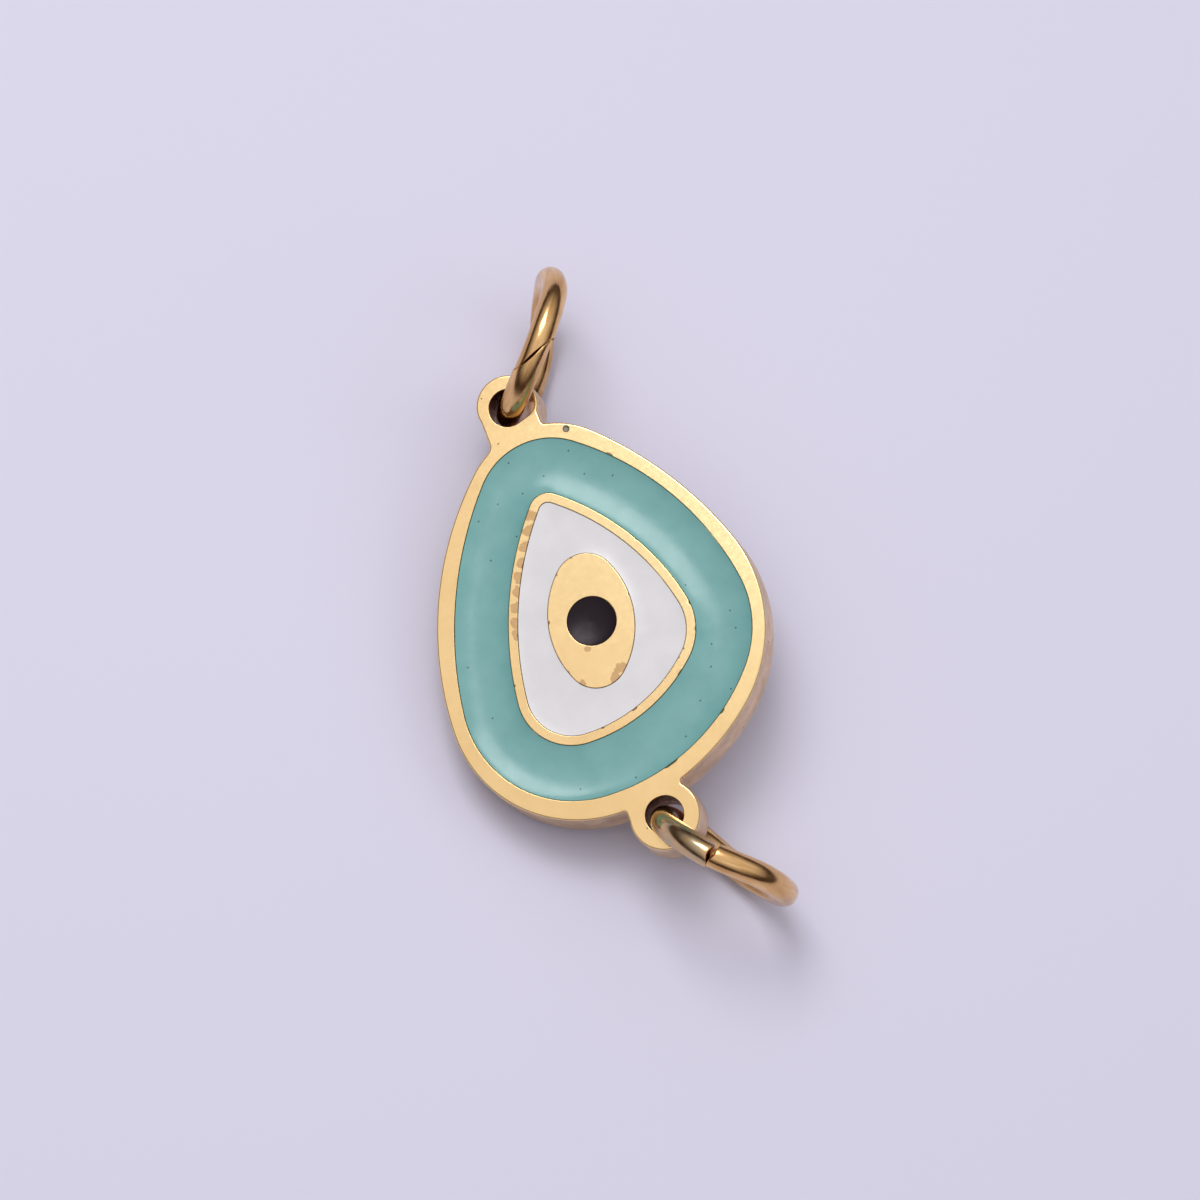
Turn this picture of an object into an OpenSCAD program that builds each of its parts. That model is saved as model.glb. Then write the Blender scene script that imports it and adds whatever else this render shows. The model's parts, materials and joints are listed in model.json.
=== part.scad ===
// Evil eye charm connector: a flat cast charm with recessed enamel and a lug at each end,
// each lug carrying an open jump ring. It lies as it rests on a table, on both rings and
// on the left edge of the charm.

/* [Charm] */
// Thickness of the charm
charm_t = 1.5; // [1.3:0.05:1.6]
// Depth of the enamel cells below the front face
cell_depth = 0.7; // [0.4:0.05:0.9]
// How far the enamel stays below the front face
enamel_drop = 0.08; // [0.04:0.01:0.2]
// Width of the metal line between the two outer enamel colours
line_w = 0.27; // [0.2:0.01:0.4]
// Diameter of the pupil
pupil_d = 1.44; // [1:0.02:1.5]

/* [Lugs] */
// Diameter of the round end of the upper lug
upper_lug_d = 1.8; // [1.78:0.02:2]
// Diameter of the round end of the lower lug
lower_lug_d = 2.04; // [2.02:0.02:2.2]
// Diameter of the hole in each lug
hole_d = 1.12; // [1.12:0.02:1.18]
// Distance from the pupil up to the upper hole
upper_hole_y = 6.8; // [6.75:0.01:6.85]
// Distance from the pupil down to the lower hole
lower_hole_y = 6.07; // [6.02:0.01:6.12]

/* [Jump rings] */
// Diameter of the wire
wire_d = 0.76; // [0.7:0.02:0.76]
// Inside diameter of a ring
ring_id = 3.44; // [3.3:0.02:3.6]
// Width of the cut where the two ends of a ring meet
cut_w = 0.06; // [0.05:0.01:0.3]
// Upper ring: swing, clockwise from straight up
upper_swing = 39.5; // [0:0.5:60]
// Lower ring: swing, anticlockwise from straight down
lower_swing = 37; // [0:0.5:60]
// Upper ring: lean out of square with the charm
upper_lean = 9.5; // [0:0.5:9.5]
// Lower ring: lean out of square with the charm
lower_lean = 5; // [0:0.5:9.5]
// Upper ring: place of the cut, from the ring's far end over its front
upper_cut_at = 104; // [45:1:135]
// Lower ring: place of the cut, from the ring's far end over its front
lower_cut_at = 87; // [45:1:135]

/* [Resting place] */
// Tilt of the charm as it lies on a flat surface
rest_tilt = 16.7; // [0:0.1:25]

/* [Hidden] */
$fn = 96;

gold = [0.90, 0.75, 0.50];
ring_gold = [0.66, 0.47, 0.24];

// Each outline is a closed run of corner arcs [x, y, radius], anticlockwise from the top,
// joined by side arcs of the given radii, all tangent to each other.
body_corners = [[0.15, 3.45, 2.6], [-0.95, -1.67, 3.87], [0.5, -0.56, 4.42]];
body_sides = [9.8, 6.9, 11.5];
cell_corners = [[0.06, 3.55, 2.09], [-1.05, -1.6, 3.33], [1.27, -0.81, 3.22]];
cell_sides = [11.15, 5.97, 8.72];
white_corners = [[0, 3.49, 0.28], [-1.15, -1.64, 1.37], [1.07, -0.74, 1.53]];
white_sides = [9.42, 4.51, 7.19];
iris_corners = [[0.26, 1.07, 0.91], [-0.19, -1.05, 0.89]];
iris_sides = [2.78, 2.73];
pupil_x = 0.05;

// The upper hole runs on to the right as a short slot, close to the lug's edge. The slot's
// straight sides are a step inside its round end.
slot_x = 0.36;
slot_drop = 0.05;
slot_d = 0.84;
slot_step = 0.01;

// The webs that join the lugs to the body: how far they reach left and right of the middle,
// and the radii of the fillets there.
upper_web = [0.88, 0.76];
upper_fillets = [0.28, 0.12];
lower_web = [1, 0.78];
lower_fillets = [0.08, 0.08];
// The upper lug's round end is centred a little above its hole.
lug_offset = 0.08;

// The arcs of an outline are drawn as chords that come this near to them.
arc_error = 0.002;

ring_r = (ring_id + wire_d) / 2;
// Distance from a hole to the middle of its ring. The wire curves through the hole, and
// has the same room on its outer side, halfway through, as on its inner side at the faces.
ring_reach = (ring_id / 2 + wire_d + sqrt(pow(ring_id, 2) - pow(charm_t, 2)) / 2) / 2;
cut_angle = cut_w / ring_r * 180 / PI;
upper_ring_pos = [sin(upper_swing), cos(upper_swing)] * ring_reach + [0, upper_hole_y];
lower_ring_pos = [sin(lower_swing), -cos(lower_swing)] * ring_reach - [0, lower_hole_y];

function xy(c) = [c[0], c[1]];

// Axis of a ring that swings clockwise from straight up by one angle and leans by another.
function ring_axis(swing, lean) =
    [cos(lean) * cos(swing), -cos(lean) * sin(swing), -sin(lean)];

// How far a ring reaches from its own middle in a direction.
function ring_span(axis, direction) =
    ring_r * sqrt(1 - pow(axis * direction, 2)) + wire_d / 2;

// In its resting place the charm touches the table with its left edge or with a ring, and
// the middle of the box it takes up there is at x = 0 and y = 0.
up = [sin(rest_tilt), 0, cos(rest_tilt)];
upper_axis = ring_axis(upper_swing, upper_lean);
lower_axis = ring_axis(180 - lower_swing, lower_lean);
body_left = body_corners[1][0] - body_corners[1][2];
body_right = body_corners[2][0] + body_corners[2][2];
lowest = min(body_left * up[0] - charm_t / 2 * up[2],
             upper_ring_pos[0] * up[0] - ring_span(upper_axis, up),
             lower_ring_pos[0] * up[0] - ring_span(lower_axis, up));
top_y = upper_ring_pos[1] + ring_span(upper_axis, [0, 1, 0]);
bottom_y = lower_ring_pos[1] - ring_span(lower_axis, [0, 1, 0]);
rest_shift = [-(body_left + body_right) / 2 * up[2], -(top_y + bottom_y) / 2, -lowest];

// Centre of the side arc of radius r that touches the corner arcs a and b.
function side_centre(a, b, r) =
    let (d = norm(xy(b) - xy(a)),
         along_ab = (xy(b) - xy(a)) / d,
         p = r - a[2],
         q = r - b[2],
         x = (p * p - q * q + d * d) / (2 * d),
         y = sqrt(p * p - x * x))
    xy(a) + along_ab * x + [-along_ab[1], along_ab[0]] * y;

// Direction from point a to point b, in degrees.
function heading(a, b) = atan2(b[1] - a[1], b[0] - a[0]);

// Anticlockwise turn from one direction to another.
function turn(from, to) = to < from ? to + 360 - from : to - from;

// Points of an anticlockwise arc from one direction to another, without its last one.
function arc(centre, r, from, to) =
    let (angle = turn(from, to), steps = ceil(angle / (2 * acos(1 - arc_error / r))))
    [for (i = [0:steps - 1])
        centre + r * [cos(from + angle * i / steps), sin(from + angle * i / steps)]];

// Points of a closed outline of corner arcs joined by side arcs.
function outline_points(corners, sides) =
    let (n = len(corners),
         centres = [for (i = [0:n - 1])
             side_centre(corners[i], corners[(i + 1) % n], sides[i])])
    [for (i = [0:n - 1])
        let (before = heading(centres[(i + n - 1) % n], corners[i]),
             after = heading(centres[i], corners[i]),
             next = heading(centres[i], corners[(i + 1) % n]))
        each concat(arc(xy(corners[i]), corners[i][2], before, after),
                    arc(centres[i], sides[i], after, next))];

function grown(corners, w) = [for (c = corners) c + [0, 0, w]];
function grown_sides(sides, w) = [for (r = sides) r + w];

module outline(corners, sides) {
    polygon(outline_points(corners, sides));
}

// Fills the corner between a web's side at x and the body's arc with a fillet of radius r.
// The side is -1 on the web's left and 1 on its right.
module web_fillet(x, side, body_arc, r) {
    body_r = body_arc[2];
    dx = x + side * r - body_arc[0];
    centre = xy(body_arc) + [dx, sqrt(pow(body_r + r, 2) - dx * dx)];
    meeting = xy(body_arc) + (centre - xy(body_arc)) * body_r / (body_r + r);
    inner_x = x - side * r;
    low = meeting[1] - r;
    difference() {
        translate([min(inner_x, meeting[0]), low]) {
            square([abs(inner_x - meeting[0]), centre[1] - low]);
        }
        translate(centre) circle(r = r);
    }
}

// A lug that points up, with its web and fillets: arcs are the body's arcs left and right.
module lug(y, d, web, arcs, fillets) {
    translate([0, y]) circle(d = d);
    translate([-web[0], y / 2]) square([web[0] + web[1], y / 2]);
    web_fillet(-web[0], -1, arcs[0], fillets[0]);
    web_fillet(web[1], 1, arcs[1], fillets[1]);
}

module upper_lug() {
    lug(upper_hole_y + lug_offset, upper_lug_d, upper_web,
        [body_corners[0], body_corners[0]], upper_fillets);
}

// The lower lug is drawn pointing up and mirrored, so the arcs it meets are mirrored too.
module lower_lug() {
    low = side_centre(body_corners[1], body_corners[2], body_sides[1]);
    left_arc = [body_corners[1][0], -body_corners[1][1], body_corners[1][2]];
    right_arc = [low[0], -low[1], body_sides[1]];
    mirror([0, 1]) {
        lug(lower_hole_y, lower_lug_d, lower_web, [left_arc, right_arc], lower_fillets);
    }
}

// A round hole that runs on into a narrower one beside it.
module upper_hole() {
    slot = [slot_x, upper_hole_y - slot_drop];
    translate([0, upper_hole_y]) circle(d = hole_d);
    translate(slot) circle(d = slot_d);
    translate([0, slot[1] - slot_d / 2 + slot_step]) {
        square([slot_x, slot_d - 2 * slot_step]);
    }
}

module charm_face() {
    difference() {
        union() {
            outline(body_corners, body_sides);
            upper_lug();
            lower_lug();
        }
        upper_hole();
        translate([0, -lower_hole_y]) circle(d = hole_d);
    }
}

module turquoise_face() {
    difference() {
        outline(cell_corners, cell_sides);
        outline(grown(white_corners, line_w), grown_sides(white_sides, line_w));
    }
}

module white_face() {
    difference() {
        outline(white_corners, white_sides);
        outline(iris_corners, iris_sides);
    }
}

module pupil_face() {
    translate([pupil_x, 0]) circle(d = pupil_d);
}

// A cell's space, from its floor up past the front face.
module cell_space() {
    translate([0, 0, charm_t / 2 - cell_depth]) linear_extrude(2 * cell_depth) children();
}

// The enamel that fills a cell to just below the front face.
module enamel() {
    translate([0, 0, charm_t / 2 - cell_depth]) {
        linear_extrude(cell_depth - enamel_drop) children();
    }
}

// Ring with a cut, in its own plane, with its far end on x and the charm's front on y.
module ring(cut_at) {
    rotate(cut_at + cut_angle / 2) {
        rotate_extrude(angle = 360 - cut_angle) translate([ring_r, 0]) circle(d = wire_d);
    }
}

// Turns what is drawn in the charm's own plane into its resting place.
module at_rest() {
    translate(rest_shift) rotate([0, -rest_tilt, 0]) children();
}

module charm_plate() {
    color(gold) at_rest() {
        difference() {
            translate([0, 0, -charm_t / 2]) linear_extrude(charm_t) charm_face();
            cell_space() turquoise_face();
            cell_space() white_face();
            cell_space() pupil_face();
        }
    }
}

module turquoise_enamel() {
    color([0.47, 0.66, 0.66]) at_rest() enamel() turquoise_face();
}

module white_enamel() {
    color([0.87, 0.86, 0.88]) at_rest() enamel() white_face();
}

module pupil_enamel() {
    color([0.12, 0.10, 0.12]) at_rest() enamel() pupil_face();
}

module upper_jump_ring() {
    color(ring_gold) at_rest() {
        translate(upper_ring_pos) rotate([90 + upper_lean, 0, 90 - upper_swing]) {
            ring(upper_cut_at);
        }
    }
}

module lower_jump_ring() {
    color(ring_gold) at_rest() {
        translate(lower_ring_pos) rotate([90 + lower_lean, 0, lower_swing - 90]) {
            ring(lower_cut_at);
        }
    }
}

charm_plate();
turquoise_enamel();
white_enamel();
pupil_enamel();
upper_jump_ring();
lower_jump_ring();
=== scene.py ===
"""Evil eye charm connector: an enamelled charm with an open jump ring through each end lug.

The frame gives the place of the charm, its hinges and its rings. Shapes are drawn in the
charm's own plane, in millimetres: the pupil at the origin, the lugs along y, the front at +z.
"""

import math

import bpy
import numpy as np
from mathutils import Matrix, Vector, noise
from mathutils.geometry import delaunay_2d_cdt
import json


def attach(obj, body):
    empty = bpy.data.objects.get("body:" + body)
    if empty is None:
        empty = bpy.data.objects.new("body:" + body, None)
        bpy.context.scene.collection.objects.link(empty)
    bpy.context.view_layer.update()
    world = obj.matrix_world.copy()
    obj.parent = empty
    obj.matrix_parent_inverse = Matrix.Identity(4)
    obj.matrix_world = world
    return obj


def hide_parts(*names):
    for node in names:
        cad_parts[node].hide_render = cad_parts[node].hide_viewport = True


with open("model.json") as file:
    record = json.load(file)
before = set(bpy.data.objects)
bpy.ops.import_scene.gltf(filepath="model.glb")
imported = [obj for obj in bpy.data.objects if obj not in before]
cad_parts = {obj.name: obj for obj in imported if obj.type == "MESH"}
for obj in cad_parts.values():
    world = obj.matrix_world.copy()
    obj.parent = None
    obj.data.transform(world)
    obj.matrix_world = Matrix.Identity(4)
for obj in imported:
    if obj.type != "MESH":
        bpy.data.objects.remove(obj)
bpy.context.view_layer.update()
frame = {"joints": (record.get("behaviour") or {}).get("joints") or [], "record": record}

MM = 0.001

# Sizes of the charm, in millimetres
CHARM_T = 1.5
CELL_DEPTH = 0.7
LINE_W = 0.27
PUPIL_X = 0.05
PUPIL_R = 0.72
UPPER_HOLE_Y = 6.8
LOWER_HOLE_Y = 6.07
HOLE_R = 0.56
SLOT_X, SLOT_DROP, SLOT_R = 0.36, 0.05, 0.42

# Outlines: corner arcs (x, y, radius), anticlockwise from the top, and the radii of the
# side arcs between them
BODY = [(0.15, 3.45, 2.6), (-0.95, -1.67, 3.87), (0.5, -0.56, 4.42)], [9.8, 6.9, 11.5]
CELL = [(0.06, 3.55, 2.09), (-1.05, -1.6, 3.33), (1.27, -0.81, 3.22)], [11.15, 5.97, 8.72]
WHITE = [(0.0, 3.49, 0.28), (-1.15, -1.64, 1.37), (1.07, -0.74, 1.53)], [9.42, 4.51, 7.19]
IRIS = [(0.26, 1.07, 0.91), (-0.19, -1.05, 0.89)], [2.78, 2.73]

# Lugs: height and radius of the round end, how far the web reaches right and left of the
# middle as seen from the lug, and the radii of the fillets there
UPPER_LUG = {"y": 6.88, "r": 0.9, "web": (0.76, 0.88), "fillets": (0.12, 0.28)}
LOWER_LUG = {"y": 6.07, "r": 1.02, "web": (1.0, 0.78), "fillets": (0.08, 0.08)}

# Fineness of the meshes: lengths in millimetres, the others are counts
OUTLINE_STEP = 0.06
TOUCHING = 1e-4
SAME_POINT = 1e-7
ARC_STEPS = 6
SPOKES = 720
HOLE_POINTS = 64
PUPIL_POINTS = 120
PIT_POINTS = 20
ROUND_STEPS = 4
DISH_ROWS = 22
RING_ROWS = 180
WIRE_SIDES = 36

joints = {joint["name"]: joint for joint in frame["joints"]}
mounts = {mount["name"]: mount for mount in frame["record"]["mounts"]}


# ---- Place of the charm's own plane ----------------------------------------------------

upper_hinge = Vector(joints["upper_ring_swing"]["pos_m"])
lower_hinge = Vector(joints["lower_ring_swing"]["pos_m"])
front = Vector(joints["upper_ring_swing"]["axis"]).normalized()
along = (upper_hinge - lower_hinge).normalized()
across = along.cross(front)
charm_turn = Matrix((across, along, front)).transposed()
charm_plane = (Matrix.Translation(lower_hinge + along * LOWER_HOLE_Y * MM)
               @ charm_turn.to_4x4() @ Matrix.Scale(MM, 4))


def add_object(name, data):
    """Adds an object with this mesh, lamp or camera to the scene."""
    obj = bpy.data.objects.new(name, data)
    bpy.context.scene.collection.objects.link(obj)
    return obj


# ---- Outlines --------------------------------------------------------------------------

def heading(a, b):
    """Direction from point a to point b, in radians."""
    return math.atan2(b[1] - a[1], b[0] - a[0])


def unwound(start, end):
    """The end of an anticlockwise turn that starts at start."""
    return end if end >= start else end + 2 * math.pi


def side_centre(a, b, r):
    """Centre of the side arc of radius r that touches the corner arcs a and b."""
    start = np.array(a[:2])
    gap = np.array(b[:2]) - start
    d = np.hypot(*gap)
    p, q = r - a[2], r - b[2]
    x = (p * p - q * q + d * d) / (2 * d)
    y = math.sqrt(p * p - x * x)
    return start + gap / d * x + np.array([-gap[1], gap[0]]) / d * y


def outline_arcs(corners, sides):
    """Arcs (centre, radius, start, end) of a closed outline: corner, side, corner, side."""
    n = len(corners)
    centres = [side_centre(corners[i], corners[(i + 1) % n], sides[i]) for i in range(n)]
    arcs = []
    for i, corner in enumerate(corners):
        before = heading(centres[i - 1], corner)
        after = unwound(before, heading(centres[i], corner))
        following = unwound(after, heading(centres[i], corners[(i + 1) % n]))
        arcs.append((np.array(corner[:2]), corner[2], before, after))
        arcs.append((centres[i], sides[i], after, following))
    return arcs


def half_turned(arc):
    """The same arc, turned by half a turn about the origin."""
    return (-arc[0], arc[1], arc[2] + math.pi, arc[3] + math.pi)


def lug_arcs(lug, right_arc, left_arc):
    """Right fillet, round end and left fillet of a lug that points up from two body arcs."""
    arcs = []
    for side, body_arc, web, r in zip((1, -1), (right_arc, left_arc), lug["web"], lug["fillets"]):
        dx = side * (web + r) - body_arc[0][0]
        reach = body_arc[1] + r
        centre = body_arc[0] + np.array([dx, math.sqrt(reach * reach - dx * dx)])
        down = heading(centre, body_arc[0])
        arcs.append((centre, r, down, -math.pi) if side == 1 else (centre, r, 0.0, down))
    right_end = -math.acos(lug["web"][0] / lug["r"])
    left_end = math.pi + math.acos(lug["web"][1] / lug["r"])
    arcs.insert(1, (np.array([0.0, lug["y"]]), lug["r"], right_end, left_end))
    return arcs


def plate_arcs():
    """The whole edge of the plate, from the upper lug's right fillet anticlockwise."""
    body = outline_arcs(*BODY)
    upper = lug_arcs(UPPER_LUG, body[0], body[0])
    lower = [half_turned(arc) for arc in
             lug_arcs(LOWER_LUG, half_turned(body[2]), half_turned(body[3]))]
    top, left, low = body[0], body[2], body[3]
    past_upper = (*top[:2], heading(top[0], upper[2][0]), top[3])
    to_lower = (*left[:2], left[2], unwound(left[2], heading(left[0], lower[0][0])))
    low_from = low[2] + (heading(low[0], lower[2][0]) - low[2]) % (2 * math.pi)
    past_lower = (*low[:2], low_from, low[3])
    to_upper = (*top[:2], top[2], heading(top[0], upper[0][0]))
    return (upper + [past_upper, body[1], to_lower] + lower
            + [past_lower, body[4], body[5], to_upper])


def walk(arcs, step):
    """Points along a closed chain of arcs and the straight lines between their ends."""
    points = []
    for i, (centre, r, start, end) in enumerate(arcs):
        count = max(math.ceil(abs(end - start) * r / step), ARC_STEPS)
        turns = np.linspace(start, end, count + 1)
        points += [centre + r * np.array([math.cos(a), math.sin(a)]) for a in turns]
        next_centre, next_r, next_start, _ = arcs[(i + 1) % len(arcs)]
        target = next_centre + next_r * np.array([math.cos(next_start), math.sin(next_start)])
        gap = np.hypot(*(target - points[-1]))
        if gap < TOUCHING:
            points.pop()
        else:
            pieces = math.ceil(gap / step)
            last = points[-1]
            points += [last + (target - last) * k / pieces for k in range(1, pieces)]
            if gap < step / 4:
                points.pop()
    return np.array(points)


def spokes(corners, sides, grow=0.0):
    """Points of an outline at even angles round the pupil, anticlockwise."""
    wide = [(x, y, r + grow) for x, y, r in corners], [r + grow for r in sides]
    fine = walk(outline_arcs(*wide), OUTLINE_STEP / 4) - (PUPIL_X, 0)
    angle = np.arctan2(fine[:, 1], fine[:, 0])
    order = np.argsort(angle)
    even = np.linspace(-math.pi, math.pi, SPOKES, endpoint=False)
    reach = np.interp(even, angle[order], np.hypot(*fine.T)[order], period=2 * math.pi)
    return np.stack([np.cos(even) * reach + PUPIL_X, np.sin(even) * reach], 1)


def circle(x, y, r, count):
    """Points round a circle, anticlockwise."""
    turns = np.linspace(0, 2 * math.pi, count, endpoint=False)
    return np.stack([x + r * np.cos(turns), y + r * np.sin(turns)], 1)


def upper_hole_outline():
    """The upper hole: a circle drawn out to a narrower one beside it."""
    main = np.array([0, UPPER_HOLE_Y])
    slot = np.array([SLOT_X, UPPER_HOLE_Y - SLOT_DROP])
    aim = heading(main, slot)
    spread = math.acos((HOLE_R - SLOT_R) / np.hypot(*(slot - main)))
    return walk([(slot, SLOT_R, aim - spread, aim + spread),
                 (main, HOLE_R, aim + spread, aim - spread + 2 * math.pi)], OUTLINE_STEP)


def outward(flat):
    """Directions away from the material, which lies to the left of the direction of travel."""
    travel = np.roll(flat, -1, 0) - np.roll(flat, 1, 0)
    return np.stack([travel[:, 1], -travel[:, 0]], 1) / np.hypot(*travel.T)[:, None]


def inside(points, loops):
    """Which points lie within an odd number of the loops."""
    hits = np.zeros(len(points), int)
    for loop in loops:
        a, b = loop, np.roll(loop, -1, 0)
        x, y = points[:, 0, None], points[:, 1, None]
        spans = (a[:, 1] > y) != (b[:, 1] > y)
        rise = np.where(b[:, 1] == a[:, 1], 1, b[:, 1] - a[:, 1])
        hits += (spans & (x < a[:, 0] + (y - a[:, 1]) * (b[:, 0] - a[:, 0]) / rise)).sum(1)
    return hits % 2 == 1


# ---- Mesh building ---------------------------------------------------------------------

class Shell:
    """A closed mesh in the making, with the normal wanted at each corner of each face."""

    def __init__(self):
        self.points = []
        self.faces = []
        self.normals = []
        self.materials = []

    def row(self, flat, z):
        """Adds a closed row of points at height z and returns their numbers."""
        start = len(self.points)
        heights = np.broadcast_to(z, len(flat))
        self.points += [(x, y, h) for (x, y), h in zip(flat, heights)]
        return list(range(start, len(self.points)))

    def band(self, a, b, a_normals, b_normals, material=0):
        """Joins two rows of the same length with faces."""
        for i in range(len(a)):
            j = (i + 1) % len(a)
            self.faces.append((a[i], a[j], b[j], b[i]))
            self.normals += [a_normals[i], a_normals[j], b_normals[j], b_normals[i]]
            self.materials.append(material)

    def cap(self, rows, side, material=0):
        """Fills the area between rows with flat faces towards the front (1) or back (-1)."""
        numbers = [i for row in rows for i in row]
        flat = np.array([self.points[i][:2] for i in numbers])
        edges, loops, start = [], [], 0
        for row in rows:
            edges += [(start + k, start + (k + 1) % len(row)) for k in range(len(row))]
            loops.append(flat[start:start + len(row)])
            start += len(row)
        made = delaunay_2d_cdt([Vector(p) for p in flat], edges, [], 0, SAME_POINT)
        places, _, triangles, origins = made[:4]
        middles = np.array([np.mean([places[i] for i in tri], 0) for tri in triangles])
        for tri, keep in zip(triangles, inside(middles, loops)):
            if keep:
                corners = [numbers[origins[i][0]] for i in tri][::side]
                self.faces.append(tuple(corners))
                self.normals += [(0.0, 0.0, float(side))] * 3
                self.materials.append(material)

    def piece(self, name, materials):
        """Makes the Blender object, in its place in the frame."""
        mesh = bpy.data.meshes.new(name)
        mesh.from_pydata([charm_plane @ Vector(p) for p in self.points], [], self.faces)
        mesh.polygons.foreach_set("material_index", self.materials)
        for material in materials:
            mesh.materials.append(material)
        mesh.shade_smooth()
        mesh.normals_split_custom_set([charm_turn @ Vector(n) for n in self.normals])
        return add_object(name, mesh)


def turned_over(shell, flat, z, side, radius):
    """Rows that round a wall over into the plate's front (1) or back (-1)."""
    out = outward(flat)
    radius = np.broadcast_to(radius, len(flat))
    rows = []
    for k in range(ROUND_STEPS + 1):
        turn = math.pi / 2 * k / ROUND_STEPS
        inset = radius * (1 - math.cos(turn))
        drop = radius * (1 - math.sin(turn))
        normals = [(o[0] * math.cos(turn), o[1] * math.cos(turn), side * math.sin(turn))
                   for o in out]
        rows.append((shell.row(flat - out * inset[:, None], z - side * drop), normals))
    return rows


def stack(shell, rows, material=0):
    """Joins rows, from the back towards the front."""
    for (a, a_normals), (b, b_normals) in zip(rows, rows[1:]):
        shell.band(a, b, a_normals, b_normals, material)


# ---- The plate -------------------------------------------------------------------------

# Outlines of the enamel cells; line is the outside of the gold line round the white one
cell = spokes(*CELL)
line = spokes(*WHITE, grow=LINE_W)
white = spokes(*WHITE)
iris = spokes(*IRIS)
pupil = circle(PUPIL_X, 0, PUPIL_R, PUPIL_POINTS)

# The plate's material slots: its face, its edge and back, the holes (gold darkened with painted
# shade) and the casting pit
FACE, SIDE, BORE, BARE = range(4)

# Radii of the rounded edges, and the depth of the chips in them, in millimetres
EDGE_R = 0.06
CELL_EDGE_R = 0.02
CHIP_DEPTH = 0.05

# How much the noise that places the chips rises from the edge of a chip to its full depth
CHIP_FADE = 0.12

# The casting pit: x, y, radius and depth, the radii of its rows as shares of the first, and
# how far its wall leans
PIT = (1.355, 5.556, 0.105, 0.07)
PIT_ROWS = (1.0, 0.85, 0.6, 0.3)
PIT_LEAN = 0.9


def worn_radius(flat, base, share, pitch, seed):
    """Radius of an edge that has chips: pitch is their spacing and share how common they are."""
    values = np.array([noise.noise(Vector((x / pitch, y / pitch, seed))) for x, y in flat])
    chipped = np.clip((values - 0.5 + share) / CHIP_FADE, 0, 1)
    return base + CHIP_DEPTH * chipped * chipped * (3 - 2 * chipped)


def make_plate(materials):
    """The gold plate with its lugs, holes and enamel cells, rounded and chipped at the edges."""
    top, floor = CHARM_T / 2, CHARM_T / 2 - CELL_DEPTH
    shell = Shell()

    edge = walk(plate_arcs(), OUTLINE_STEP)
    upper_hole = upper_hole_outline()[::-1]
    lower_hole = circle(0, -LOWER_HOLE_Y, HOLE_R, HOLE_POINTS)[::-1]
    front_rows, back_rows = [], []
    for flat, radius, wall in ((edge, EDGE_R, SIDE), (upper_hole, CELL_EDGE_R, BORE),
                               (lower_hole, CELL_EDGE_R, BORE)):
        back = turned_over(shell, flat, -top, -1, radius)
        face = turned_over(shell, flat, top, 1, radius)
        stack(shell, back[::-1], SIDE)
        stack(shell, [back[0], face[0]], wall)
        stack(shell, face, FACE)
        front_rows.append(face[-1][0])
        back_rows.append(back[-1][0])
    shell.cap(back_rows, -1, SIDE)

    # Outlines of the cells, with how common the chips along each are and their spacing
    outlines = {
        "cell": (cell[::-1], 0.01, 0.35),
        "line": (line, 0.05, 0.25),
        "white": (white[::-1], 0.03, 0.3),
        "iris": (iris, 0.03, 0.3),
        "pupil": (pupil[::-1], 0.0, 0.3)}
    tops, floors = {}, {}
    for seed, (name, (flat, share, pitch)) in enumerate(outlines.items()):
        radius = worn_radius(flat, CELL_EDGE_R, share, pitch, seed)
        face = turned_over(shell, flat, top, 1, radius)
        foot = shell.row(flat, floor)
        stack(shell, [(foot, face[0][1])] + face, FACE)
        tops[name], floors[name] = face[-1][0], foot
    shell.cap([floors["cell"], floors["line"]], 1)
    shell.cap([floors["white"], floors["iris"]], 1)
    shell.cap([floors["pupil"]], 1)

    pit_x, pit_y, pit_r, pit_depth = PIT
    pit = []
    for share in PIT_ROWS:
        flat = circle(pit_x, pit_y, pit_r * share, PIT_POINTS)
        depth = pit_depth * (1 - share ** 2)
        lean = PIT_LEAN * share
        normals = [(-lean * (x - pit_x) / pit_r, -lean * (y - pit_y) / pit_r, 1) for x, y in flat]
        pit.append((shell.row(flat, top - depth), normals))
    stack(shell, pit, BARE)
    shell.cap([pit[-1][0]], 1, BARE)

    shell.cap(front_rows + [tops["cell"], pit[0][0]], 1)
    shell.cap([tops["line"], tops["white"]], 1)
    shell.cap([tops["iris"], tops["pupil"]], 1)
    return shell.piece("charm_casting", materials)


# ---- The enamels -----------------------------------------------------------------------

# Space round the enamel, how far it stays below the plate's face at its edge, and how far
# from its edge it sinks further, in millimetres
ENAMEL_GAP = 0.015
ENAMEL_EDGE = 0.03
DISH_REACH = 0.34

# Size of a dish's innermost row, as a share of its outline
INNERMOST = 0.04


def nearest(points, loop):
    """Distance from each point to the nearest of a loop's points."""
    gaps = points[:, None, :] - loop[None, :, :]
    return np.sqrt((gaps ** 2).sum(2).min(1))


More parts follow.
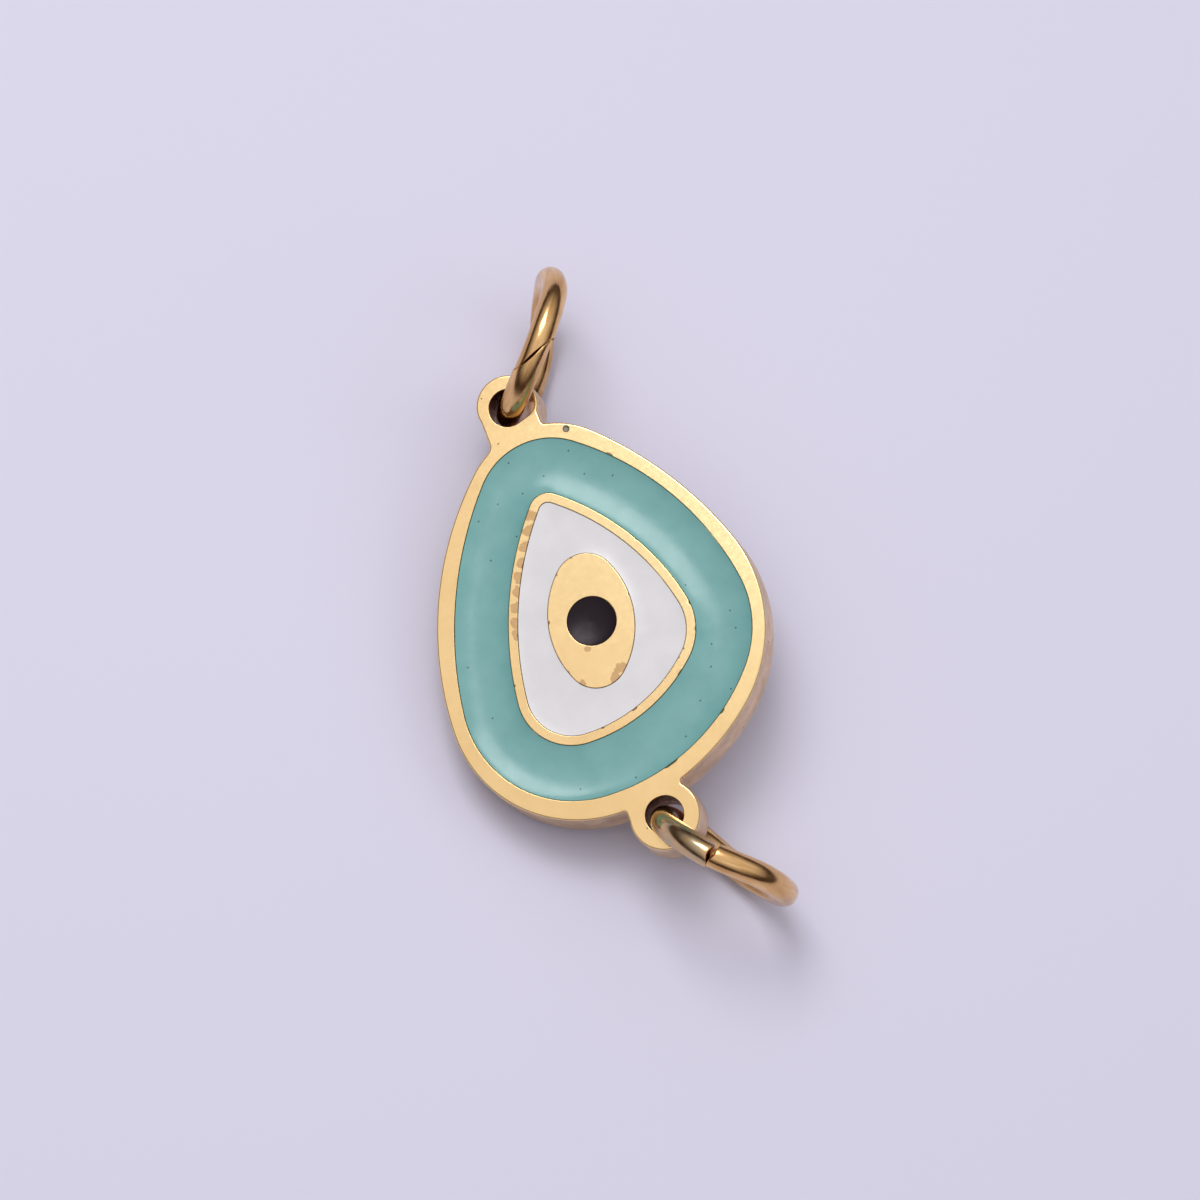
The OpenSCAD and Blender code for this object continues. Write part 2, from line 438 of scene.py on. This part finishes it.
def make_enamel(name, outer, inner, dish_depth, material):
    """Enamel between two outlines with matching points, or inside one, sunk like a dish."""
    top, floor = CHARM_T / 2, CHARM_T / 2 - CELL_DEPTH + ENAMEL_GAP
    outer = outer - outward(outer) * ENAMEL_GAP
    if inner is None:
        centre = (PUPIL_X, 0)
        rim_in = (outer - centre) * INNERMOST + centre
        share = np.sin(np.linspace(0, math.pi / 2, DISH_ROWS))
    else:
        rim_in = inner + outward(inner) * ENAMEL_GAP
        share = (1 - np.cos(np.linspace(0, math.pi, DISH_ROWS))) / 2
    grid = outer[None] * (1 - share)[:, None, None] + rim_in[None] * share[:, None, None]
    rise = []
    for row in grid:
        sunk = 1 - np.exp(-nearest(row, outer) / DISH_REACH)
        if inner is not None:
            sunk *= 1 - np.exp(-nearest(row, rim_in) / DISH_REACH)
        rise.append(top - ENAMEL_EDGE - dish_depth * sunk)
    surface = np.concatenate([grid, np.array(rise)[:, :, None]], 2)
    round_it = np.roll(surface, -1, 1) - np.roll(surface, 1, 1)
    inwards = np.gradient(surface, axis=0)
    normals = np.cross(round_it, inwards)
    normals /= np.linalg.norm(normals, axis=2)[:, :, None]

    shell = Shell()
    rows = [(shell.row(flat, z), [tuple(n) for n in tilt])
            for flat, z, tilt in zip(grid, rise, normals)]
    wall_out = [(x, y, 0.0) for x, y in outward(outer)]
    foot_out = shell.row(outer, floor)
    stack(shell, [(foot_out, wall_out), (rows[0][0], wall_out)])
    stack(shell, rows)
    if inner is None:
        shell.cap([rows[-1][0]], 1)
        shell.cap([foot_out], -1)
    else:
        wall_in = [(-x, -y, 0.0) for x, y in outward(rim_in)]
        foot_in = shell.row(rim_in, floor)
        stack(shell, [(rows[-1][0], wall_in), (foot_in, wall_in)])
        shell.cap([foot_out, foot_in], -1)
    return shell.piece(name, [material])


# ---- The rings -------------------------------------------------------------------------

# Radius of the cut ends' edges, width of the cut, and how far each end is worn back on the
# ring's outside, in millimetres
END_ROUND = 0.04
CUT_W = 0.06
NOTCH = 0.05

# Places of the rows in a rounded end, as shares of its radius
END_ROWS = (0.0, 0.08, 0.3, 0.62, 1.0)

# How closely each shape keeps to its own part of the ring: higher powers keep closer
NOTCH_POWER = 8
SLANT_POWER = 8
MISFIT_POWER = 5
SQUEEZE_POWER = 4

# Two faces of a ring that meet at more than this angle, in degrees, have a sharp edge
SHARP_FROM = 50


def smooth_round(values, angle):
    """A value at an angle round a circle, from values at even steps, smoothly joined."""
    place = angle / (2 * math.pi) * len(values)
    first = math.floor(place)
    t = place - first
    a, b, c, d = [values[(first + k) % len(values)] for k in (-1, 0, 1, 2)]
    return b + t * (c - a + t * (2 * a - 5 * b + 4 * c - d + t * (3 * b - a - 3 * c + d))) / 2


def wire_mesh(name, verts, uvs):
    """A closed mesh from rows of WIRE_SIDES points along a wire, with flat ends."""
    faces, corners = [], []
    rows = len(verts) // WIRE_SIDES
    for i in range(rows - 1):
        for k in range(WIRE_SIDES):
            j = (k + 1) % WIRE_SIDES
            a, b = i * WIRE_SIDES, (i + 1) * WIRE_SIDES
            faces.append((a + k, b + k, b + j, a + j))
            wrap = (0, 0, 1 if j == 0 else 0, 1 if j == 0 else 0)
            corners += [(uvs[v][0], uvs[v][1] + w) for v, w in zip(faces[-1], wrap)]
    faces.append(tuple(range(WIRE_SIDES)))
    faces.append(tuple(reversed(range((rows - 1) * WIRE_SIDES, rows * WIRE_SIDES))))
    corners += [uvs[v] for face in faces[-2:] for v in face]

    mesh = bpy.data.meshes.new(name)
    mesh.from_pydata(verts, [], faces)
    wire_uv = mesh.uv_layers.new(name="wire")
    wire_uv.data.foreach_set("uv", [value for corner in corners for value in corner])
    mesh.shade_smooth()
    mesh.set_sharp_from_angle(angle=math.radians(SHARP_FROM))
    return mesh


def make_ring(name, mount, hinge, cut_at, misfit, slants, bend, squeeze, material):
    """An open ring round a mount's bore, with its two cut ends a little out of line.

    Its far end is the one away from the hinge. cut_at is the cut's place in degrees from
    there, over the ring's front. Misfit is how far the cut ends are apart along the ring's
    axis, and slants are how far the cut runs along the wire at each of them, the one nearer
    the lug first. Bend is how far the wire strays along the axis, in eight even steps round
    the ring from the far end over its front. Squeeze is how much nearer than a true circle
    the far end is. Misfit, slants, bend and squeeze are in millimetres."""
    wire_r = mount["dims"]["length_mm"] / 2
    ring_r = mount["dims"]["r_mm"] + wire_r
    axis = Vector(mount["axis"]).normalized()
    centre = Vector(mount["pos_m"])
    far = (centre - Vector(hinge)).normalized()
    far = (far - axis * far.dot(axis)).normalized()
    over = axis.cross(far)
    half_cut = CUT_W / 2 / ring_r
    length = (2 * math.pi - 2 * half_cut) * ring_r

    ends = END_ROUND * np.array(END_ROWS)
    middle = np.linspace(END_ROUND, length - END_ROUND, RING_ROWS)[1:-1]
    verts, uvs = [], []
    for place in np.concatenate([ends, middle, length - ends[::-1]]):
        swing = 2 * place / length - 1
        slant = slants[0] if swing < 0 else slants[1]
        fullness = 1 - min(min(place, length - place) / END_ROUND, 1)
        r = wire_r - END_ROUND * (1 - math.sqrt(1 - fullness ** 2))
        misfit_here = misfit / 2 * math.copysign(abs(swing) ** MISFIT_POWER, swing)
        for k in range(WIRE_SIDES):
            side = 2 * math.pi * k / WIRE_SIDES
            outside = max(0, math.cos(side)) ** NOTCH_POWER
            notch = math.copysign(NOTCH * outside, swing)
            shift = (slant * math.sin(side) - notch) * swing ** SLANT_POWER
            angle = math.radians(cut_at) + half_cut + (place + shift) / ring_r
            spoke = far * math.cos(angle) + over * math.sin(angle)
            lift = misfit_here + smooth_round(bend, angle) + r * math.sin(side)
            squeeze_here = squeeze * max(0, math.cos(angle)) ** SQUEEZE_POWER
            reach = ring_r - squeeze_here + r * math.cos(side)
            verts.append(centre + (spoke * reach + axis * lift) * MM)
            uvs.append((place, side / (2 * math.pi)))
    mesh = wire_mesh(name, verts, uvs)
    mesh.materials.append(material)
    return add_object(name, mesh)


# ---- Materials -------------------------------------------------------------------------

# The part of the noise's values that a cloud spreads over its whole range
CLOUD_SPAN = (0.3, 0.7)

# How far a dot's soft edge reaches, as shares of its radius
DOT_OUTER, DOT_INNER = 1.3, 0.7


class Paint:
    """A material with its shader, and short ways to add nodes to it."""

    def __init__(self, name, **settings):
        self.material = bpy.data.materials.new(name)
        self.material.use_nodes = True
        self.tree = self.material.node_tree
        self.shader = self.tree.nodes["Principled BSDF"]
        for socket, value in settings.items():
            self.shader.inputs[socket.replace("_", " ")].default_value = value
        coords = self.tree.nodes.new("ShaderNodeTexCoord")
        self.place = coords.outputs["Object"]
        self.uv = coords.outputs["UV"]

    def node(self, kind, inputs, **settings):
        """Adds a node; its inputs are values, or sockets to link from."""
        node = self.tree.nodes.new(kind)
        for name, value in settings.items():
            setattr(node, name, value)
        for name, value in inputs.items():
            if isinstance(value, bpy.types.NodeSocket):
                self.tree.links.new(value, node.inputs[name])
            else:
                node.inputs[name].default_value = value
        return node

    def grain(self, size, detail=2.0, coords=None, stretch=(1, 1, 1)):
        """Noise from 0 to 1 with features of a size in metres (or in UV units)."""
        mapped = self.node("ShaderNodeMapping", {"Vector": coords or self.place,
                                                 "Scale": [s / size for s in stretch]})
        made = self.node("ShaderNodeTexNoise", {"Vector": mapped.outputs[0], "Scale": 1.0,
                                                "Detail": detail})
        return made.outputs["Fac"]

    def cloud(self, size, detail=2.0, low=0.0, high=1.0):
        """The same noise with more contrast, from low to high."""
        return self.ramp(self.grain(size, detail), *CLOUD_SPAN, low, high)

    def distance(self, spot):
        """Distance in metres from a spot (x, y) on the plate's face."""
        middle = charm_plane @ Vector((*spot, CHARM_T / 2))
        made = self.node("ShaderNodeVectorMath", {0: self.place, 1: middle},
                         operation="DISTANCE")
        return made.outputs["Value"]

    def spots(self, spacing, radius, share, kind="2D"):
        """1 inside scattered dots, one at most in each cell of a grid of that spacing."""
        mapped = self.node("ShaderNodeMapping", {"Vector": self.place,
                                                 "Scale": [1 / spacing] * 3})
        cells = self.node("ShaderNodeTexVoronoi", {"Vector": mapped.outputs[0], "Scale": 1.0},
                          voronoi_dimensions=kind)
        pick = self.node("ShaderNodeSeparateColor", {"Color": cells.outputs["Color"]})
        near = self.ramp(cells.outputs["Distance"], radius / spacing * DOT_OUTER,
                         radius / spacing * DOT_INNER)
        chosen = self.node("ShaderNodeMath", {0: pick.outputs[0], 1: share},
                           operation="LESS_THAN")
        both = self.node("ShaderNodeMath", {0: near, 1: chosen.outputs[0]},
                         operation="MULTIPLY")
        return both.outputs[0]

    def ramp(self, value, low, high, to_low=0.0, to_high=1.0):
        """A value from low to high, as one from to_low to to_high."""
        made = self.node("ShaderNodeMapRange", {"Value": value, "From Min": low,
                                                "From Max": high, "To Min": to_low,
                                                "To Max": to_high})
        return made.outputs["Result"]

    def mix(self, amount, a, b):
        """Colour a where amount is 0 and b where it is 1."""
        made = self.node("ShaderNodeMix", {0: amount, 6: a, 7: b}, data_type="RGBA")
        return made.outputs[2]

    def bump(self, height, depth, strength=1.0):
        """Raises the surface by height times depth, in metres."""
        earlier = self.shader.inputs["Normal"].links
        inputs = {"Height": height, "Distance": depth, "Strength": strength}
        if earlier:
            inputs["Normal"] = earlier[0].from_socket
        made = self.node("ShaderNodeBump", inputs)
        self.tree.links.new(made.outputs[0], self.shader.inputs["Normal"])

    def set(self, socket, value):
        """Links a node's output to an input of the shader."""
        self.tree.links.new(value, self.shader.inputs[socket])


# Colours of the metals
FACE_DEEP, FACE_LIGHT = (0.90, 0.62, 0.285, 1), (0.96, 0.685, 0.335, 1)
# Painted highlight: the paler gold painted on the face's brighter side
FACE_PAINTED_HIGHLIGHT = (1.0, 0.79, 0.41, 1)
FACE_WORN = (0.66, 0.42, 0.20, 1)
FACE_SPECK = (0.35, 0.20, 0.10, 1)
SIDE_DEEP, SIDE_LIGHT = (0.58, 0.39, 0.23, 1), (0.84, 0.62, 0.39, 1)
SIDE_PIT = (0.16, 0.11, 0.09, 1)
# Inside the holes: gold painted dark brown as shade
BORE_SHADE_DEEP, BORE_SHADE_LIGHT = (0.20, 0.07, 0.025, 1), (0.46, 0.19, 0.06, 1)
BARE_DEEP, BARE_LIGHT = (0.22, 0.20, 0.16, 1), (0.34, 0.30, 0.24, 1)
WIRE_DEEP, WIRE_LIGHT = (0.57, 0.31, 0.11, 1), (0.90, 0.58, 0.27, 1)

# Places on the plate's face where the gold is worn: x, y and radius in millimetres. The edge
# of each wanders by WORN_RAGGED of its radius and fades over the shares in WORN_FADE
WORN = [(-0.46, 3.55, 0.18), (-0.68, 3.18, 0.20), (-0.95, 2.77, 0.19), (-1.20, 2.38, 0.18),
        (-1.42, 2.00, 0.18), (-1.64, 1.60, 0.18), (-1.83, 1.20, 0.20), (-1.99, 0.80, 0.19),
        (-2.11, 0.45, 0.15), (0.14, -1.86, 0.20), (0.36, -1.62, 0.20), (-0.85, -1.6, 0.13),
        (-0.35, -0.7, 0.1)]
WORN_RAGGED = 0.35
WORN_FADE = (0.95, 0.85)

# The face is painted paler and yellower towards a place beside the plate: a painted highlight
# where the lamp's reflection falls. It starts at one distance from that place and is full at a
# shorter one, in millimetres
PAINTED_HIGHLIGHT_SPOT = (6.5, 2.5)
PAINTED_HIGHLIGHT_FROM, PAINTED_HIGHLIGHT_FULL = 9, 3

# How soft a stretch of another tint on the ring's wire is, in millimetres: before and after
# its start, and before and after its end
STRETCH_SOFT = (0.6, 0.3, 0.1, 0.5)


def gold_face():
    """The polished gold of the plate's face, with a painted highlight on one side and worn
    places.
    """
    paint = Paint("gold_plate_face", Metallic=1.0)
    tint = paint.mix(paint.cloud(1.6 * MM), FACE_DEEP, FACE_LIGHT)
    # Painted highlight: the face is painted paler towards one side
    painted_highlight = paint.ramp(paint.distance(PAINTED_HIGHLIGHT_SPOT), PAINTED_HIGHLIGHT_FROM * MM, PAINTED_HIGHLIGHT_FULL * MM)
    tint = paint.mix(painted_highlight, tint, FACE_PAINTED_HIGHLIGHT)
    ragged = paint.cloud(0.25 * MM, 3, -WORN_RAGGED, WORN_RAGGED)
    for x, y, r in WORN:
        reach = paint.node("ShaderNodeMath", {0: ragged, 1: r * MM, 2: paint.distance((x, y))},
                           operation="MULTIPLY_ADD").outputs[0]
        worn = paint.ramp(reach, *[share * r * MM for share in WORN_FADE])
        tint = paint.mix(worn, tint, FACE_WORN)
    specks = paint.spots(0.9 * MM, 0.025 * MM, 0.08)
    paint.set("Base Color", paint.mix(specks, tint, FACE_SPECK))
    paint.set("Roughness", paint.ramp(paint.grain(0.12 * MM, 4), 0.3, 0.75, 0.13, 0.18))
    paint.bump(paint.grain(2.2 * MM, 1), 0.02 * MM, 0.12)
    paint.bump(paint.grain(0.06 * MM, 3), 0.002 * MM, 0.1)
    return paint.material


def gold_side():
    """The duller, pitted gold of the plate's edge and back."""
    paint = Paint("gold_plate_side", Metallic=1.0)
    tint = paint.mix(paint.cloud(0.7 * MM, 4), SIDE_DEEP, SIDE_LIGHT)
    pits = paint.spots(0.45 * MM, 0.045 * MM, 0.5, kind="3D")
    paint.set("Base Color", paint.mix(pits, tint, SIDE_PIT))
    paint.set("Roughness", paint.cloud(0.2 * MM, 4, 0.30, 0.48))
    paint.bump(paint.grain(0.25 * MM, 4), 0.012 * MM, 0.5)
    return paint.material


def gold_bore_painted_shade():
    """The gold inside the two holes, painted a darker brown as shade."""
    paint = Paint("gold_plate_bore_painted_shade", Metallic=1.0)
    paint.set("Base Color", paint.mix(paint.cloud(0.3 * MM, 3), BORE_SHADE_DEEP, BORE_SHADE_LIGHT))
    paint.set("Roughness", paint.cloud(0.2 * MM, 2, 0.22, 0.38))
    paint.bump(paint.grain(0.2 * MM, 3), 0.01 * MM, 0.5)
    return paint.material


def bare_metal():
    """The rough grey metal at the bottom of the casting's pit."""
    paint = Paint("bare_metal", Metallic=1.0)
    paint.set("Base Color", paint.mix(paint.cloud(0.05 * MM, 3), BARE_DEEP, BARE_LIGHT))
    paint.set("Roughness", paint.cloud(0.04 * MM, 2, 0.45, 0.65))
    paint.bump(paint.grain(0.04 * MM, 3), 0.006 * MM, 0.6)
    return paint.material


def enamel(name, deep, light, speck_share, roughness, **settings):
    """Smooth enamel in two close shades, with a few dark specks."""
    paint = Paint(name, **settings)
    tint = paint.mix(paint.cloud(0.8 * MM, 3), deep, light)
    specks = paint.spots(0.8 * MM, 0.026 * MM, speck_share)
    dark = [part * 0.3 for part in deep[:3]] + [1]
    paint.set("Base Color", paint.mix(specks, tint, dark))
    paint.set("Roughness", paint.cloud(0.3 * MM, 3, roughness * 0.8, roughness * 1.2))
    paint.bump(paint.grain(0.5 * MM, 2), 0.004 * MM, 0.5)
    return paint.material


def ring_gold(name, stretch_from, stretch_to, stretch_tint):
    """Drawn and plated wire, with another tint between two places along the wire; on the upper
    ring that tint is painted shade.
    """
    paint = Paint(name, Metallic=1.0)
    streaks = paint.grain(1, 3, paint.uv, (0.9, 9, 1))
    tint = paint.mix(paint.ramp(streaks, *CLOUD_SPAN), WIRE_DEEP, WIRE_LIGHT)
    along_wire = paint.node("ShaderNodeSeparateXYZ", {"Vector": paint.uv}).outputs[0]
    before, after, short_of, past = STRETCH_SOFT
    start = paint.ramp(along_wire, stretch_from - before, stretch_from + after)
    stop = paint.ramp(along_wire, stretch_to - short_of, stretch_to + past, 1.0, 0.0)
    within = paint.node("ShaderNodeMath", {0: start, 1: stop}, operation="MULTIPLY").outputs[0]
    patchy = paint.ramp(paint.grain(0.5 * MM, 3), 0.25, 0.65)
    share = paint.node("ShaderNodeMath", {0: within, 1: patchy}, operation="MULTIPLY")
    paint.set("Base Color", paint.mix(share.outputs[0], tint, stretch_tint))
    paint.set("Roughness", paint.cloud(0.3 * MM, 4, 0.12, 0.26))
    paint.bump(streaks, 0.008 * MM, 0.4)
    paint.bump(paint.grain(0.6 * MM, 2), 0.02 * MM, 0.4)
    return paint.material


# ---- The pieces ------------------------------------------------------------------------

plate = make_plate([gold_face(), gold_side(), gold_bore_painted_shade(), bare_metal()])
turquoise = make_enamel("turquoise_field", cell, line, 0.14, enamel(
    "turquoise_enamel", (0.144, 0.359, 0.344, 1), (0.174, 0.399, 0.384, 1),
    speck_share=0.4, roughness=0.21, Specular_IOR_Level=0.57))
white_field = make_enamel("white_field", white, iris, 0.03, enamel(
    "white_enamel", (0.67, 0.66, 0.67, 1), (0.72, 0.705, 0.72, 1),
    speck_share=0.02, roughness=0.18))
pupil_dot = make_enamel("pupil_dot", pupil, None, 0.1, enamel(
    "black_enamel", (0.006, 0.003, 0.005, 1), (0.009, 0.005, 0.008, 1),
    speck_share=0.0, roughness=0.28, Specular_IOR_Level=0.22,
    Specular_Tint=(1.0, 0.88, 0.97, 1)))
# The upper ring's dark brown stretch, 2.9 to 5.0 mm along the wire, is painted shade where the
# wire runs into the upper lug's hole
upper_ring = make_ring(
    "upper_open_ring", mounts["upper_ring_eye"], upper_hinge, cut_at=104, misfit=0.03,
    slants=(-0.6, -0.6), bend=(-0.24, 0.14, 0.23, 0.09, -0.06, 0.12, 0.05, -0.24),
    squeeze=0.08, material=ring_gold("upper_ring_gold_painted_shade", 2.9, 5.0, (0.26, 0.11, 0.04, 1)))
lower_ring = make_ring(
    "lower_open_ring", mounts["lower_ring_eye"], lower_hinge, cut_at=87, misfit=-0.05,
    slants=(-0.03, 0.05), bend=(0.06, 0.00, 0.20, 0.18, 0.03, 0.00, 0.25, 0.22),
    squeeze=0.17, material=ring_gold("lower_ring_gold", 0.0, 3.0, (0.48, 0.40, 0.26, 1)))

for piece, body, node, slot in (
        (plate, "charm", "charm_plate", "gold_plate"),
        (turquoise, "charm", "turquoise_enamel", "turquoise_enamel"),
        (white_field, "charm", "white_enamel", "white_enamel"),
        (pupil_dot, "charm", "pupil_enamel", "black_enamel"),
        (upper_ring, "upper_ring", "upper_jump_ring", "ring_wire"),
        (lower_ring, "lower_ring", "lower_jump_ring", "ring_wire")):
    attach(piece, body)
    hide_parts(node)


# ---- Camera ----------------------------------------------------------------------------

# The camera's direction from the charm, in the charm's own plane, and how far the charm's
# long axis leans to the left in the view
VIEW_FROM = (0.093, -0.250, 0.9636)
VIEW_LEAN = math.radians(21.1)

# Distance, width of the view there, and the middle of the view to the right of the pupil and
# above it, in metres
VIEW_DISTANCE = 0.25
VIEW_WIDTH = 34.3 * MM
VIEW_AIM = (0.286 * MM, 0.614 * MM)

SENSOR_MM = 36
NEAREST_SEEN = 0.01

view_back = (charm_turn @ Vector(VIEW_FROM)).normalized()
lug_up = (along - view_back * along.dot(view_back)).normalized()
lug_right = lug_up.cross(view_back)
view_right = lug_right * math.cos(VIEW_LEAN) - lug_up * math.sin(VIEW_LEAN)
view_up = lug_up * math.cos(VIEW_LEAN) + lug_right * math.sin(VIEW_LEAN)
view_turn = Matrix((view_right, view_up, view_back)).transposed()
pupil_place = charm_plane @ Vector((0, 0, CHARM_T / 2))
view_target = pupil_place + view_right * VIEW_AIM[0] + view_up * VIEW_AIM[1]

camera_data = bpy.data.cameras.new("camera")
camera_data.sensor_width = SENSOR_MM
camera_data.lens = SENSOR_MM * VIEW_DISTANCE / VIEW_WIDTH
camera_data.clip_start = NEAREST_SEEN
camera_data.dof.use_dof = False
camera = add_object("camera", camera_data)
camera.matrix_world = (Matrix.Translation(view_target + view_back * VIEW_DISTANCE)
                       @ view_turn.to_4x4())
bpy.context.scene.camera = camera


# ---- Floor and light -------------------------------------------------------------------

# How far the table top reaches from the middle, in metres, and its colour
FLOOR_REACH = 1.5
FLOOR_COLOUR = (0.66, 0.645, 0.775, 1)

# Colours of the room low down and overhead, and the heights from which and to which one turns
# into the other, where 0 is level and 1 straight up
ROOM_LOW, ROOM_HIGH = (0.07, 0.05, 0.05, 1), (0.86, 0.84, 0.865, 1)
ROOM_FROM, ROOM_FULL = 0.28, 0.82


def make_floor():
    """A plain pale table top at height 0."""
    reach = FLOOR_REACH
    mesh = bpy.data.meshes.new("floor")
    mesh.from_pydata([(-reach, -reach, 0), (reach, -reach, 0), (reach, reach, 0),
                      (-reach, reach, 0)], [], [(0, 1, 2, 3)])
    paint = Paint("pale_floor", Base_Color=FLOOR_COLOUR, Roughness=0.7, Specular_IOR_Level=0.2)
    mesh.materials.append(paint.material)
    add_object("floor", mesh)


def soft_box(name, direction, distance, size, radiance, mirrored=True):
    """A square lamp of one brightness that faces the pupil, and may show in reflections."""
    light = bpy.data.lights.new(name, "AREA")
    light.shape = "SQUARE"
    light.size = size
    light.energy = radiance * math.pi * size * size
    lamp = add_object(name, light)
    lamp.location = pupil_place + direction.normalized() * distance
    lamp.rotation_euler = direction.to_track_quat("Z", "Y").to_euler()
    lamp.visible_glossy = mirrored


def mirrored_from(tilt_right, tilt_up):
    """Where the camera looks by way of a surface tilted from the charm's face, in degrees."""
    normal = front + view_right * math.tan(math.radians(tilt_right))
    normal = (normal + view_up * math.tan(math.radians(tilt_up))).normalized()
    return normal * 2 * normal.dot(view_back) - view_back


def make_world():
    """A pale room that is brighter overhead than at the sides."""
    world = bpy.data.worlds.new("room")
    world.use_nodes = True
    nodes, links = world.node_tree.nodes, world.node_tree.links
    coords = nodes.new("ShaderNodeTexCoord")
    split = nodes.new("ShaderNodeSeparateXYZ")
    ramp = nodes.new("ShaderNodeMapRange")
    ramp.inputs["From Min"].default_value = ROOM_FROM
    ramp.inputs["From Max"].default_value = ROOM_FULL
    mix = nodes.new("ShaderNodeMix")
    mix.data_type = "RGBA"
    mix.inputs[6].default_value = ROOM_LOW
    mix.inputs[7].default_value = ROOM_HIGH
    links.new(coords.outputs["Generated"], split.inputs[0])
    links.new(split.outputs[2], ramp.inputs["Value"])
    links.new(ramp.outputs["Result"], mix.inputs[0])
    links.new(mix.outputs[2], nodes["Background"].inputs["Color"])
    bpy.context.scene.world = world


make_floor()
make_world()
soft_box("key_box", mirrored_from(5.5, 9.5), distance=0.2, size=0.09, radiance=5.1)
soft_box("fill_box", view_back + view_up * 0.5 - view_right * 0.1,
         distance=0.12, size=0.08, radiance=1.05, mirrored=False)
soft_box("side_box", view_back * 0.6 + view_right,
         distance=0.25, size=0.15, radiance=0.8, mirrored=False)
bpy.context.scene.view_settings.view_transform = "Standard"
